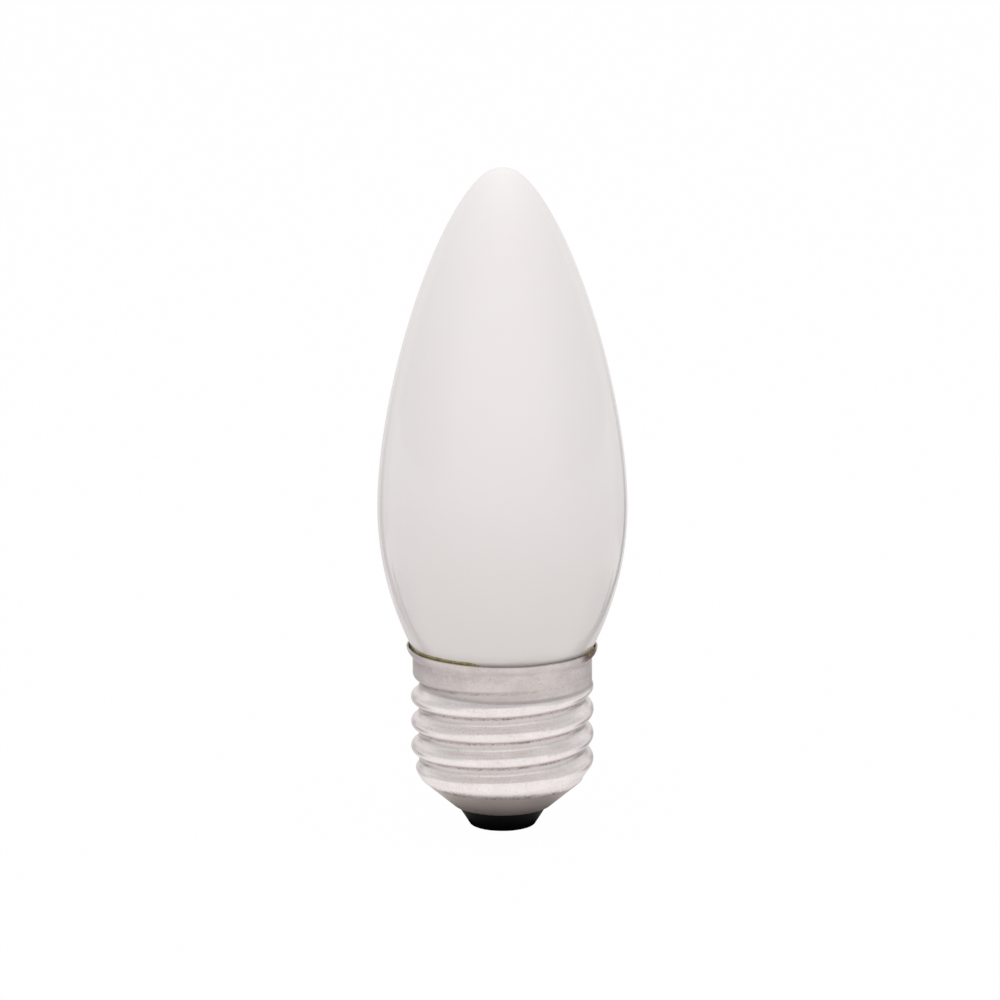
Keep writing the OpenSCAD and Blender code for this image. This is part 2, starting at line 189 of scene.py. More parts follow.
def glass_outline():
    exhaust_r = EXHAUST_D / 2
    exhaust_end_h = SEAL_H - EXHAUST_L
    edge_c = (neck_r - NECK_EDGE_R, NECK_END_H + NECK_EDGE_R)
    inside = ([(0, exhaust_end_h)]
              + arc((0, exhaust_end_h + exhaust_r), exhaust_r, -pi / 2, 0, 10)
              + [(exhaust_r, SEAL_H), (SEAL_D / 2, SEAL_H), (neck_r - NECK_WALL, NECK_END_H)])
    neck = [(edge_c[0], NECK_END_H)] + arc(edge_c, NECK_EDGE_R, -pi / 2, 0, 8) + bend_outline(16)
    lower = [(glass_at(z), z) for z in np.linspace(lip_h, BELLY_H, 60)]
    upper = curve(
        belly_p,
        (glass_r, BELLY_H + BELLY_PULL * side_l),
        (tip_p[0] + TIP_PULL * side_l * sin(TIP_ANGLE), tip_p[1] - TIP_PULL * side_l * cos(TIP_ANGLE)),
        tip_p,
        110)
    return inside + neck + lower + upper + arc(tip_c, TIP_R, TIP_ANGLE, pi / 2, 24)


# Meshes
def piece(name, points, faces, material, slot, *nodes, crease=40):
    """A mesh piece from points in millimetres, shaded smooth but for creases sharper than that angle."""
    mesh = bpy.data.meshes.new(name)
    mesh.from_pydata([tuple(c * MM for c in p) for p in points], [], faces)
    mesh.validate()
    mesh.shade_smooth()
    mesh.set_sharp_from_angle(angle=radians(crease))
    mesh.materials.append(material)
    made = bpy.data.objects.new(name, mesh)
    bpy.context.scene.collection.objects.link(made)
    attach(made, "root")
    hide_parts(*nodes)
    return made


def band(lower, upper, flip=False):
    """Faces between two closed rings of point numbers, which turn the same way."""
    n = len(lower)
    quads = [(lower[j], lower[(j + 1) % n], upper[(j + 1) % n], upper[j]) for j in range(n)]
    return [q[::-1] for q in quads] if flip else quads


def turned(outline, columns, closed=False, shift=None):
    """Points and faces of an outline turned about the axis; shift moves each point a little."""
    points, faces, rings = [], [], []
    for r, z in outline:
        if r < 1e-6:
            rings.append([len(points)])
            points.append((0.0, 0.0, z))
            continue
        rings.append(list(range(len(points), len(points) + columns)))
        for j in range(columns):
            a = 2 * pi * j / columns
            dr, dz = shift(r, a, z) if shift else (0, 0)
            points.append(((r + dr) * cos(a), (r + dr) * sin(a), z + dz))
    pairs = list(zip(rings, rings[1:] + rings[:1])) if closed else list(zip(rings, rings[1:]))
    for low, high in pairs:
        if len(low) == 1 or len(high) == 1:
            pole, ring = (low[0], high) if len(low) == 1 else (high[0], low)
            n = len(ring)
            fan = [(pole, ring[(j + 1) % n], ring[j]) for j in range(n)]
            faces += fan if len(low) == 1 else [f[::-1] for f in fan]
        else:
            faces += band(low, high)
    return points, faces


# Materials: a node by its kind, with settings and inputs that are values or other nodes' outputs
def add_node(tree, kind, inputs=None, **settings):
    made = tree.nodes.new(kind)
    for name, value in settings.items():
        setattr(made, name, value)
    for key, value in (inputs or {}).items():
        if isinstance(value, bpy.types.NodeSocket):
            tree.links.new(value, made.inputs[key])
        else:
            made.inputs[key].default_value = value
    return made


class Material:
    """A procedural material: each method adds a node and gives its main output."""

    def __init__(self, name):
        self.material = bpy.data.materials.new(name)
        self.material.use_nodes = True
        self.tree = self.material.node_tree
        self.tree.nodes.clear()
        self.place = add_node(self.tree, "ShaderNodeTexCoord").outputs["Object"]

    def add(self, kind, inputs=None, **settings):
        return add_node(self.tree, kind, inputs, **settings)

    def noise(self, size, detail=3.0, roughness=0.55, stretch=(1, 1, 1)):
        """Noise from 0 to 1 with features of that size in millimetres."""
        mapped = self.add("ShaderNodeMapping", {"Vector": self.place, "Scale": stretch})
        return self.add("ShaderNodeTexNoise", {
            "Vector": mapped.outputs[0], "Scale": 1 / (size * MM), "Detail": detail,
            "Roughness": roughness}).outputs["Fac"]

    def attribute(self, name):
        return self.add("ShaderNodeAttribute", attribute_name=name).outputs["Fac"]

    def axis(self, name):
        """The place along X, Y or Z, in metres."""
        return self.add("ShaderNodeSeparateXYZ", {"Vector": self.place}).outputs[name]

    def math(self, operation, a, b=0.0):
        return self.add("ShaderNodeMath", {0: a, 1: b}, operation=operation).outputs[0]

    def step(self, value, low, high, top=1.0):
        """0 below low, top above high, smooth between."""
        return self.add("ShaderNodeMapRange", {
            "Value": value, "From Min": low, "From Max": high, "To Min": 0.0, "To Max": top},
            interpolation_type="SMOOTHSTEP").outputs[0]

    def spread(self, value, low, high):
        """A 0 to 1 value brought to a range."""
        return self.add("ShaderNodeMapRange", {
            "Value": value, "To Min": low, "To Max": high}).outputs[0]

    def mix(self, factor, a, b):
        made = self.add("ShaderNodeMix", {0: factor}, data_type="RGBA")
        for socket, value in ((made.inputs[6], a), (made.inputs[7], b)):
            if isinstance(value, bpy.types.NodeSocket):
                self.tree.links.new(value, socket)
            else:
                socket.default_value = (*value, 1)
        return made.outputs[2]

    def bump(self, height, depth, strength=1.0):
        """Normals for a height from 0 to 1 that stands for a depth in millimetres."""
        return self.add("ShaderNodeBump", {
            "Height": height, "Distance": depth * MM, "Strength": strength}).outputs[0]

    def surface(self, inputs):
        shader = self.add("ShaderNodeBsdfPrincipled", inputs)
        self.add("ShaderNodeOutputMaterial", {"Surface": shader.outputs[0]})
        return self.material


def opal_glass():
    m = Material("opal_glass")
    cloud = m.noise(9, detail=2)
    body = m.mix(m.spread(cloud, 0, 1), (0.832, 0.803, 0.797), (0.847, 0.819, 0.814))
    rim = m.step(m.axis("Z"), (lip_h + 2.2) * MM, (lip_h - 0.2) * MM)
    stained = m.mix(m.math("MULTIPLY", rim, m.spread(m.noise(2.5), 0.05, 0.35)), body, (0.52, 0.46, 0.38))
    return m.surface({
        "Base Color": stained,
        "Roughness": 0.42,
        "IOR": 1.5,
        "Specular IOR Level": 0.25,
        "Coat Weight": 1.0,
        "Coat Roughness": 0.045,
        "Coat IOR": 1.5,
        "Coat Normal": m.bump(m.noise(7, detail=1), 0.02)})


def cap_aluminium():
    m = Material("cap_aluminium")
    rise, crest, groove = m.attribute("rise"), m.attribute("crest"), m.attribute("groove")
    height = m.axis("Z")
    patina = m.noise(3.2, detail=4)
    streak = m.noise(1.1, detail=4, roughness=0.65, stretch=(0.35, 0.35, 2.2))
    grain = m.noise(0.3, detail=3, roughness=0.7)

    def line(share, inner, outer):
        """A band along the thread, with its middle at that share of the pitch above a crest."""
        t = 2 * pi * share
        near = m.math("ADD", m.math("MULTIPLY", crest, cos(t)), m.math("MULTIPLY", rise, sin(t)))
        return m.math("MULTIPLY", groove, m.step(near, cos(2 * pi * outer), cos(2 * pi * inner)))

    # Dull collar and cone, brighter where the thread was rolled
    mottled = m.math("ADD", m.math("MULTIPLY", patina, 0.6), m.math("MULTIPLY", streak, 0.4))
    dull = m.mix(m.step(mottled, 0.36, 0.64), (0.70, 0.656, 0.645), (0.60, 0.562, 0.552))
    bright = m.mix(m.step(mottled, 0.36, 0.64), (0.93, 0.888, 0.876), (0.86, 0.817, 0.805))
    threaded = m.math("MULTIPLY", m.step(height, (COLLAR_H - 0.1) * MM, (COLLAR_H - 0.7) * MM),
                      m.step(height, (cone_top_h - 0.1) * MM, (cone_top_h + 0.5) * MM))
    on_cone = m.step(height, (cone_top_h + 0.1) * MM, (cone_top_h - 0.2) * MM)
    # On the cone a browner patina, which grows darker towards the right: that darkening to the right is
    # painted shade
    worn = m.mix(m.step(m.axis("X"), 1.5 * MM, 7 * MM), (0.60, 0.525, 0.495), (0.47, 0.415, 0.39))
    dull = m.mix(on_cone, dull, worn)
    colour = m.mix(m.step(grain, 0.35, 0.65, 0.16), m.mix(threaded, dull, bright), (0.45, 0.40, 0.385))
    # Painted shade, with some soot: a darker ring where the collar ends, and darker bands at the root of each
    # groove and below each crest. Specks of soot below each crest and in the crease above the cone
    ring = m.math("MULTIPLY", m.step(height, (COLLAR_H - 0.65) * MM, (COLLAR_H - 0.4) * MM),
                  m.step(height, (COLLAR_H + 0.15) * MM, (COLLAR_H - 0.2) * MM))
    root = m.math("MULTIPLY", line(0.49, 0.03, 0.10), 0.5)
    under = m.math("MAXIMUM", root, m.math("MULTIPLY", line(0.62, 0.05, 0.16), 0.42))
    shade = m.math("MAXIMUM", m.math("MULTIPLY", ring, 0.45), under)
    colour = m.mix(shade, colour, (0.36, 0.33, 0.32))
    crease = m.math("MULTIPLY",
                    m.step(height, (cone_top_h - 0.3) * MM, (cone_top_h - 0.05) * MM),
                    m.step(height, (cone_top_h + 0.9) * MM, (cone_top_h + 0.15) * MM))
    sooty = m.math("MAXIMUM", line(0.66, 0.005, 0.06), crease)
    specks = m.step(m.math("ADD", m.math("MULTIPLY", m.noise(1.6, detail=2), 0.6), grain), 0.72, 0.98)
    soot = m.math("MULTIPLY", m.math("MULTIPLY", sooty, specks), 0.75)
    pits = m.math("MULTIPLY", m.step(grain, 0.60, 0.68), m.step(m.noise(1.4), 0.40, 0.60, 0.3))
    dark = m.math("MAXIMUM", soot, pits)
    colour = m.mix(dark, colour, (0.15, 0.125, 0.115))
    # Mottled smear below the lip, most of it on the left, and a burnt spot on the lip
    below_lip = m.math("MULTIPLY",
                       m.step(height, (lip_foot_h - 1.7) * MM, (lip_foot_h - 0.2) * MM),
                       m.step(height, (lip_foot_h + 0.6) * MM, (lip_foot_h - 0.1) * MM))
    left = m.step(m.axis("X"), 2.0 * MM, -4.0 * MM)
    mottle = m.step(m.noise(0.55, detail=6, roughness=0.8), 0.34, 0.68)
    smear = m.math("MULTIPLY", m.math("MULTIPLY", below_lip, m.spread(left, 0.2, 1)), mottle)
    colour = m.mix(m.math("MULTIPLY", smear, 0.4), colour, (0.30, 0.265, 0.26))
    burnt = m.math("MULTIPLY", m.math("MULTIPLY",
                                      m.step(m.axis("X"), 10.9 * MM, 11.9 * MM),
                                      m.step(m.axis("Y"), -2.0 * MM, -3.5 * MM)),
                   m.step(height, (lip_foot_h + 0.35) * MM, (lip_foot_h + 0.75) * MM))
    scorched = m.math("MULTIPLY", burnt, m.step(m.noise(0.9, detail=4), 0.25, 0.45))
    colour = m.mix(m.math("MULTIPLY", scorched, 0.85), colour, (0.13, 0.055, 0.035))
    # Darker low on the cone, towards the base: partly grime, partly painted shade
    grime_and_shade = m.math("MULTIPLY", m.step(height, 5.6 * MM, 3.9 * MM), m.spread(m.noise(0.7, detail=5), 0.1, 0.9))
    colour = m.mix(grime_and_shade, colour, (0.34, 0.30, 0.28))
    rough = m.math("ADD", m.spread(patina, 0.42, 0.52), m.math("MULTIPLY", dark, 0.2))
    tiny = m.math("ADD", m.math("MULTIPLY", grain, 0.5), m.noise(0.5, detail=3, stretch=(0.4, 0.4, 2.5)))
    return m.surface({
        "Base Color": colour,
        "Metallic": 1.0,
        "Roughness": m.math("SUBTRACT", rough, m.math("MULTIPLY", threaded, 0.17)),
        "Normal": m.bump(tiny, 0.012, 0.4)})


def cement():
    m = Material("cement")
    tone = m.noise(0.7, detail=4)
    body = m.mix(m.step(tone, 0.3, 0.7), (0.24, 0.20, 0.075), (0.42, 0.37, 0.17))
    spots = m.step(m.noise(0.32, detail=2, roughness=0.8), 0.56, 0.64)
    # Painted shadow of the gap between the cement and the glass at the front: a black patch with an uneven
    # edge
    across = m.math("ADD", m.axis("X"), m.math("MULTIPLY", tone, 0.8 * MM))
    middle = m.math("MULTIPLY", m.step(across, -2.4 * MM, -1.9 * MM), m.step(across, 2.3 * MM, 1.8 * MM))
    gap_shadow = m.math("MULTIPLY", m.step(m.axis("Y"), -5 * MM, -8 * MM), middle)
    return m.surface({
        "Base Color": m.mix(m.math("MAXIMUM", spots, gap_shadow), body, (0.025, 0.02, 0.013)),
        "Roughness": 0.88,
        "Normal": m.bump(m.noise(0.28, detail=4), 0.12)})


def black_glass():
    m = Material("black_glass")
    dust = m.step(m.noise(0.25, detail=2, roughness=0.8), 0.68, 0.76, 0.5)
    return m.surface({
        "Base Color": m.mix(dust, (0.0008, 0.0008, 0.0008), (0.05, 0.045, 0.04)),
        "Roughness": m.spread(m.noise(1.5), 0.05, 0.16),
        "IOR": 1.5,
        "Specular IOR Level": 0.2,
        "Normal": m.bump(m.noise(1.8, detail=2), 0.05)})


def contact_brass():
    m = Material("contact_brass")
    tarnish = m.step(m.noise(1.1, detail=4), 0.4, 0.7)
    scratches = m.noise(0.3, detail=3, stretch=(0.3, 2, 1))
    return m.surface({
        "Base Color": m.mix(tarnish, (0.74, 0.56, 0.29), (0.42, 0.30, 0.16)),
        "Metallic": 1.0,
        "Roughness": m.spread(tarnish, 0.28, 0.5),
        "Normal": m.bump(scratches, 0.02, 0.7)})


def solder():
    m = Material("solder")
    cloud = m.noise(0.8, detail=4)
    return m.surface({
        "Base Color": m.mix(m.step(cloud, 0.35, 0.7), (0.60, 0.60, 0.61), (0.36, 0.36, 0.37)),
        "Metallic": 1.0,
        "Roughness": m.spread(cloud, 0.24, 0.5),
        "Normal": m.bump(m.noise(0.25, detail=4), 0.04)})


def lead_wire():
    m = Material("lead_wire")
    worn = m.step(m.noise(0.6, detail=3), 0.4, 0.7)
    return m.surface({
        "Base Color": m.mix(worn, (0.80, 0.46, 0.31), (0.45, 0.24, 0.16)),
        "Metallic": 1.0,
        "Roughness": m.spread(worn, 0.22, 0.45)})


# Glass bulb
GLASS_COLUMNS = 192


def build_glass():
    points, faces = turned(glass_outline(), GLASS_COLUMNS)
    piece("bulb_glass", points, faces, opal_glass(), "opal_glass", "glass_bulb", crease=30)


# Screw shell: fine rings on the outside, every third of them inside, rounded edges
SHELL_COLUMNS, CONE_RINGS, COLLAR_RINGS, LIP_RINGS, INSIDE_EVERY = 288, 16, 5, 16, 3
# Height from one ring to the next over the thread; the rings end and the collar's begin so far above COLLAR_H
RING_STEP, RUN_OUT_H, COLLAR_FOOT_H = 0.125, 2.2, 2.3
# Dents of the sheet, dents and waves in height of its lip, and rounding of its edges as a share of the wall
DENT, LIP_DENT, LIP_WAVE, EDGE_ROUND = 0.035, 0.09, 0.06, 0.3


def build_shell():
    columns = SHELL_COLUMNS
    heights = np.concatenate([
        np.linspace(CONE_EDGE_H, cone_top_h, CONE_RINGS)[:-1],
        np.arange(cone_top_h, COLLAR_H + RUN_OUT_H, RING_STEP),
        np.linspace(COLLAR_H + COLLAR_FOOT_H, lip_foot_h, COLLAR_RINGS)[:-1],
        np.linspace(lip_foot_h, lip_h, LIP_RINGS)])
    turn, z = np.meshgrid(np.arange(columns) / columns, heights)
    outer, on_thread, phase = shell_at(turn, z, 0)
    inner = shell_at(turn, z, SHELL_WALL)[0]
    angle = 2 * pi * turn
    near_lip = smooth((z - lip_foot_h) / LIP_FLARE_H)
    dents = np.zeros_like(z)
    for (i, j), a in np.ndenumerate(angle):
        x, y = thread_r * cos(a), thread_r * sin(a)
        dents[i, j] = DENT * wobble(x, y, z[i, j], 5, 3.1)
        dents[i, j] += LIP_DENT * near_lip[i, j] * wobble(x, y, 0, 6, 8.7)
    lift = np.array([LIP_WAVE * wobble(thread_r * cos(a), thread_r * sin(a), 0, 4, 5.3) for a in angle[0]])
    tall = z + near_lip * lift
    edge_round = SHELL_WALL * EDGE_ROUND

    def ring(i, radius, dz=0.0):
        r = radius[i] + dents[i]
        return np.stack([r * np.cos(angle[i]), r * np.sin(angle[i]), tall[i] + dz], axis=1)

    rings, marks = [], []

    def put(points, i):
        rings.append(points)
        marks.append((np.sin(phase[i]), np.cos(phase[i]), on_thread[i]))

    last = len(heights) - 1
    mid = (outer + inner) / 2
    for i in range(last + 1):
        put(ring(i, outer, -edge_round if i == last else 0.0), i)
    put(ring(last, outer - edge_round, 0.0), last)
    put(ring(last, inner + edge_round, 0.0), last)
    put(ring(last, inner, -edge_round), last)
    for i in range(last - INSIDE_EVERY, 0, -INSIDE_EVERY):
        put(ring(i, inner), i)
    put(ring(0, inner), 0)
    put(ring(0, mid, -edge_round), 0)

    points = np.concatenate(rings)
    numbers = [list(range(k * columns, (k + 1) * columns)) for k in range(len(rings))]
    faces = [f for low, high in zip(numbers, numbers[1:] + numbers[:1]) for f in band(low, high)]
    made = piece("cap_shell", points, faces, cap_aluminium(), "cap_aluminium", "screw_shell", crease=50)
    for column, name in enumerate(("rise", "crest", "groove")):
        values = np.concatenate([m[column] for m in marks])
        made.data.attributes.new(name, "FLOAT", "POINT").data.foreach_set("value", values.astype(np.float32))


# Cement: the ring with a rough top, swollen where it has crept up the glass
CEMENT_COLUMNS, CEMENT_TOP_STEPS = 360, 9
# Stretches by their angles from +X in degrees: each one sets in from the first to the second angle, and ends
# from the third to the fourth
FRONT_LEFT, FRONT_GAP, RIGHT = (186, 212, 246, 268), (252, 264, 322, 336), (325, 337, 352, 360)
# How far the top stands above its usual level at the front left, right and back, and dips in the front gap
FRONT_LEFT_RISE, RIGHT_RISE, BACK_RISE, FRONT_DIP = 0.85, 0.5, 0.15, 0.45
# Unevenness of that rise at the back, of the level all round, and of the surface, coarse and fine
BACK_WAVE, LEVEL_WAVE, GRIT, FINE_GRIT = 0.3, 0.10, 0.07, 0.05
# How much higher the top is at the glass and lower at the shell, its sag between the two, and how far the
# cement reaches into the glass
CREEP, SAG, REACH = 0.12, 0.16, 0.02
# Radius of the circle on which its noise is read
CEMENT_NOISE_R = 13


def build_cement():
    columns = CEMENT_COLUMNS
    shell_in_r = collar_r - SHELL_WALL - SEAT_GAP
    bore_r = shell_bore_r - SEAT_GAP
    low_h = bend_p[1] - CEMENT_SKIRT_H
    steps = CEMENT_TOP_STEPS

    def stretch(degrees, angles):
        return (smooth((degrees - angles[0]) / (angles[1] - angles[0]))
                * (1 - smooth((degrees - angles[2]) / (angles[3] - angles[2]))))

    def swell(a):
        """How far the cement stands above its usual level, by the angle from +X."""
        degrees = (a * 180 / pi) % 360
        back = (BACK_RISE + BACK_WAVE * wobble(cos(a) * 3, sin(a) * 3, 0, 2, 4.4)) * (degrees < 180)
        return (FRONT_LEFT_RISE * stretch(degrees, FRONT_LEFT) + RIGHT_RISE * stretch(degrees, RIGHT)
                + back - FRONT_DIP * stretch(degrees, FRONT_GAP))

    sections = []
    for j in range(columns):
        a = 2 * pi * j / columns
        x, y = CEMENT_NOISE_R * cos(a), CEMENT_NOISE_R * sin(a)
        level = lip_h - CEMENT_DEPTH + swell(a) + LEVEL_WAVE * wobble(x, y, 0, 1.1, 1.7)
        inner = [(r - REACH, z) for r, z in [(neck_r, low_h)] + bend_outline(6)]
        creep = level + CREEP
        wall_r = lip_at(level - CREEP) - SHELL_WALL - 0.01
        glass_edge = glass_at(creep) - REACH
        top = []
        for k in range(steps + 1):
            s = k / steps
            r = glass_edge + (wall_r - glass_edge) * s
            sag = -SAG * (1 - (2 * s - 1) ** 2) - 2 * CREEP * s
            grit = (GRIT * wobble(x * 2.6, y * 2.6, r * 3, 1, 9.2)
                    + FINE_GRIT * wobble(x, y, r, 0.3, 2.2))
            top.append((r, creep + sag + grit))
        outer = [(shell_in_r, lip_foot_h), (shell_in_r, COLLAR_H + 2.0), (bore_r, COLLAR_H), (bore_r, low_h)]
        sections.append([(r * cos(a), r * sin(a), z) for r, z in inner + top + outer])
    count = len(sections[0])
    points = [p for section in sections for p in section]
    faces = []
    for j in range(columns):
        near, far = j * count, (j + 1) % columns * count
        for k in range(count):
            above = (k + 1) % count
            faces.append((near + above, far + above, far + k, near + k))
    piece("cement_ring", points, faces, cement(), "cement", "cap_cement", crease=60)


# Insulator: black glass, turned, with a rounded foot and an uneven side
INSULATOR_COLUMNS, FOOT_ROUND, SEAT_CHAMFER, SIDE_WAVE = 160, 0.45, 0.05, 0.06


def build_insulator():
    edge_in_r = float(cone_at(CONE_EDGE_H, SHELL_WALL)) - SEAT_GAP
    top_r = min(float(cone_at(INSULATOR_TOP_H, SHELL_WALL)), shell_bore_r) - SEAT_GAP
    seat_h = INSULATOR_H + PLATE_SEAT
    foot_r = INSULATOR_D / 2
    slope = atan((CONE_EDGE_H - INSULATOR_H) / (edge_in_r - foot_r))
    foot_c = (foot_r - FOOT_ROUND * tan(slope / 2), INSULATOR_H + FOOT_ROUND)
    outline = ([(EYELET_D / 2, seat_h), (PLATE_D / 2, seat_h), (PLATE_D / 2, INSULATOR_H + SEAT_CHAMFER),
                (PLATE_D / 2 + SEAT_CHAMFER, INSULATOR_H), (foot_c[0], INSULATOR_H)]
               + arc(foot_c, FOOT_ROUND, -pi / 2, -pi / 2 + slope, 8)
               + [(foot_r + (edge_in_r - foot_r) * s, INSULATOR_H + (CONE_EDGE_H - INSULATOR_H) * s)
                  for s in (0.35, 0.5, 0.65, 0.8, 0.92, 1.0)]
               + [(top_r, INSULATOR_TOP_H), (top_r - INSULATOR_RIM_W, INSULATOR_TOP_H),
                  (INSULATOR_FLOOR_D / 2, INSULATOR_FLOOR_H), (EYELET_D / 2, INSULATOR_FLOOR_H)])

    def shift(r, a, z):
        if not INSULATOR_H < z < CONE_EDGE_H:
            return 0.0, 0.0
        return SIDE_WAVE * wobble(5 * cos(a), 5 * sin(a), z, 2.5, 6.1), 0.0

    points, faces = turned(outline, INSULATOR_COLUMNS, closed=True, shift=shift)
    piece("insulator_glass", points, faces, black_glass(), "black_glass", "cap_insulator", crease=35)


# Contact: eyelet with softened edges, uneven solder and the bead on the lip
plate_low_h = INSULATOR_H + PLATE_SEAT - PLATE_T
eyelet_bore_r = EYELET_D / 2 - PLATE_T
CONTACT_COLUMNS, BEAD_COLUMNS = 96, 48
# Rounding of the plate's edge, how far the solder reaches into the plate, and the solder's unevenness
PLATE_ROUND, SOLDER_REACH, SOLDER_LUMP = 0.12, 0.05, 0.16
# The bead: unevenness as a share of its size, its height as a share of its width, and how far it is moved in
BEAD_LUMP, BEAD_SQUASH, BEAD_INWARDS = 0.16, 0.95, 0.03


def build_contact():
    seat_h = plate_low_h + PLATE_T
    roll_h = INSULATOR_FLOOR_H + PLATE_T
    plate_c = (PLATE_D / 2 - PLATE_ROUND, plate_low_h + PLATE_ROUND)
    roll_c = (EYELET_ROLL_D / 2 - PLATE_T / 2, INSULATOR_FLOOR_H + PLATE_T / 2)
    outline = ([(eyelet_bore_r, plate_low_h), (plate_c[0], plate_low_h)]
               + arc(plate_c, PLATE_ROUND, -pi / 2, 0, 6)
               + [(PLATE_D / 2, seat_h), (EYELET_D / 2, seat_h), (EYELET_D / 2, INSULATOR_FLOOR_H),
                  (roll_c[0], INSULATOR_FLOOR_H)]
               + arc(roll_c, PLATE_T / 2, -pi / 2, pi / 2, 8)
               + [(eyelet_bore_r, roll_h)])
    points, faces = turned(outline, CONTACT_COLUMNS, closed=True)
    piece("contact_eyelet", points, faces, contact_brass(), "contact_brass", "centre_contact", crease=50)


def build_solder(finish):
    dome_r, flat_r = SOLDER_D / 2, SOLDER_FLAT_D / 2
    ball_c = (dome_r ** 2 - flat_r ** 2 - plate_low_h ** 2) / (2 * plate_low_h)
    ball_r = sqrt(dome_r ** 2 + ball_c ** 2)
    dome = arc((0, plate_low_h + ball_c), ball_r, -acos(flat_r / ball_r), -acos(dome_r / ball_r), 14)
    outline = ([(0, 0), (flat_r * 0.6, 0), (flat_r, 0)] + dome
               + [(dome_r - 0.02, plate_low_h + SOLDER_REACH), (eyelet_bore_r, plate_low_h + SOLDER_REACH),
                  (eyelet_bore_r, SOLDER_FILL_H), (0, SOLDER_FILL_H)])

    def shift(r, a, z):
        if z <= 0 or r < eyelet_bore_r + 0.01:
            return 0.0, 0.0
        lump = wobble(2 * cos(a), 2 * sin(a), 0, 1.4, 7.7)
        return SOLDER_LUMP * lump * (r / dome_r) ** 2, 0.0

    points, faces = turned(outline, CONTACT_COLUMNS, shift=shift)
    piece("contact_solder", points, faces, finish, "solder", "centre_solder", crease=50)


def build_bead(finish):
    ball_r = ((WELD_D / 2) ** 2 + WELD_T ** 2) / (2 * WELD_T)
    base_y = lip_r + SEAT_GAP - BEAD_INWARDS
    points, faces = turned(
        [(0, 0), (WELD_D / 2, 0)]
        + arc((0, WELD_T - ball_r), ball_r, acos(WELD_D / 2 / ball_r), pi / 2, 14)[:-1] + [(0, WELD_T)],
        BEAD_COLUMNS)
    placed = []
    for x, z, out in points:
        lump = 1 + BEAD_LUMP * wobble(x, z, out, 0.5, 3.9)
        placed.append((x * lump, base_y + out * lump, lip_h + z * lump * BEAD_SQUASH))
    piece("lip_bead", placed, [f[::-1] for f in faces], finish, "solder", "side_weld", crease=60)


def finish_wires():
    copper = lead_wire()
    for name in ("centre_lead_wire", "side_lead_wire"):
        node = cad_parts[name]
        node.data.materials.clear()
        node.data.materials.append(copper)


build_glass()
build_shell()
build_cement()
build_insulator()
build_contact()
tin = solder()
build_solder(tin)
build_bead(tin)
finish_wires()


# Stage: a floor that is white to the camera and keeps the shadow, cards for the reflections only
def stage_mesh(name, points, faces, material):
    mesh = bpy.data.meshes.new(name)
    mesh.from_pydata([tuple(c * MM for c in p) for p in points], [], faces)
    mesh.materials.append(material)
    made = bpy.data.objects.new(name, mesh)
    bpy.context.scene.collection.objects.link(made)
    return made


def only_in_reflections(card):
    card.visible_camera = False
    card.visible_diffuse = False
    card.visible_transmission = False
    card.visible_volume_scatter = False
    card.visible_shadow = False


def seen_white(tree):
    """1 for the rays that show the background: the camera's, glossy and transmission rays."""
    path = add_node(tree, "ShaderNodeLightPath")
    seen = add_node(tree, "ShaderNodeMath", {
        0: path.outputs["Is Camera Ray"], 1: path.outputs["Is Glossy Ray"]}, operation="MAXIMUM")
    return add_node(tree, "ShaderNodeMath", {
        0: seen.outputs[0], 1: path.outputs["Is Transmission Ray"]}, operation="MAXIMUM").outputs[0]


# Share of the floor that is plain white to the camera; the rest is matt and shows the shadow
FLOOR_WHITE = 0.99


def floor_material():
    made = bpy.data.materials.new("floor_white")
    made.use_nodes = True
    tree = made.node_tree
    tree.nodes.clear()
    matt = add_node(tree, "ShaderNodeBsdfDiffuse", {"Color": (0.70, 0.68, 0.67, 1)})
    white = add_node(tree, "ShaderNodeEmission", {"Color": (1, 1, 1, 1), "Strength": 1.0})
    share = add_node(tree, "ShaderNodeMath", {0: seen_white(tree), 1: FLOOR_WHITE}, operation="MULTIPLY")
    mixed = add_node(tree, "ShaderNodeMixShader", {
        0: share.outputs[0], 1: matt.outputs[0], 2: white.outputs[0]})
    add_node(tree, "ShaderNodeOutputMaterial", {"Surface": mixed.outputs[0]})
    return made


def glow_material(name, build):
    """Emission whose strength is worked out from the place, by build(material)."""
    m = Material(name)
    glow = m.add("ShaderNodeEmission", {"Color": (1, 0.97, 0.965, 1), "Strength": build(m)})
    m.add("ShaderNodeOutputMaterial", {"Surface": glow.outputs[0]})
    return m.material


FLOOR_HALF = 3000
stage_mesh("floor", [(-FLOOR_HALF, -FLOOR_HALF, 0), (FLOOR_HALF, -FLOOR_HALF, 0),
                     (FLOOR_HALF, FLOOR_HALF, 0), (-FLOOR_HALF, FLOOR_HALF, 0)], [(0, 1, 2, 3)],
           floor_material())


# Dark strips behind the lamp, left and right, the near ones painted shadows of the lamp: distance aside,
# lean, half width, its growth, level
FLAGS = (35, 0.467, 3, 0.115, 0.42), (37, 0.31, 3, 0.065, 0.16)
NEAR_STRIPS = (22, 1.05, 4.5, 0, 0.15), (18, 0.88, 4, 0, 0.12)
# Edge of a strip in shares of its half width, and heights between which it fades out on the back card
STRIP_OUT, STRIP_IN = 1.3, 0.7
FLAG_FADE, FLAG_TOP = 8, 85
BACK_DISTANCE, BACK_HALF, BACK_TOP, BACK_GLOW, BACK_BRIGHTER = 110, 160, 260, 0.77, 0.12
CARD_FOOT = 0.2


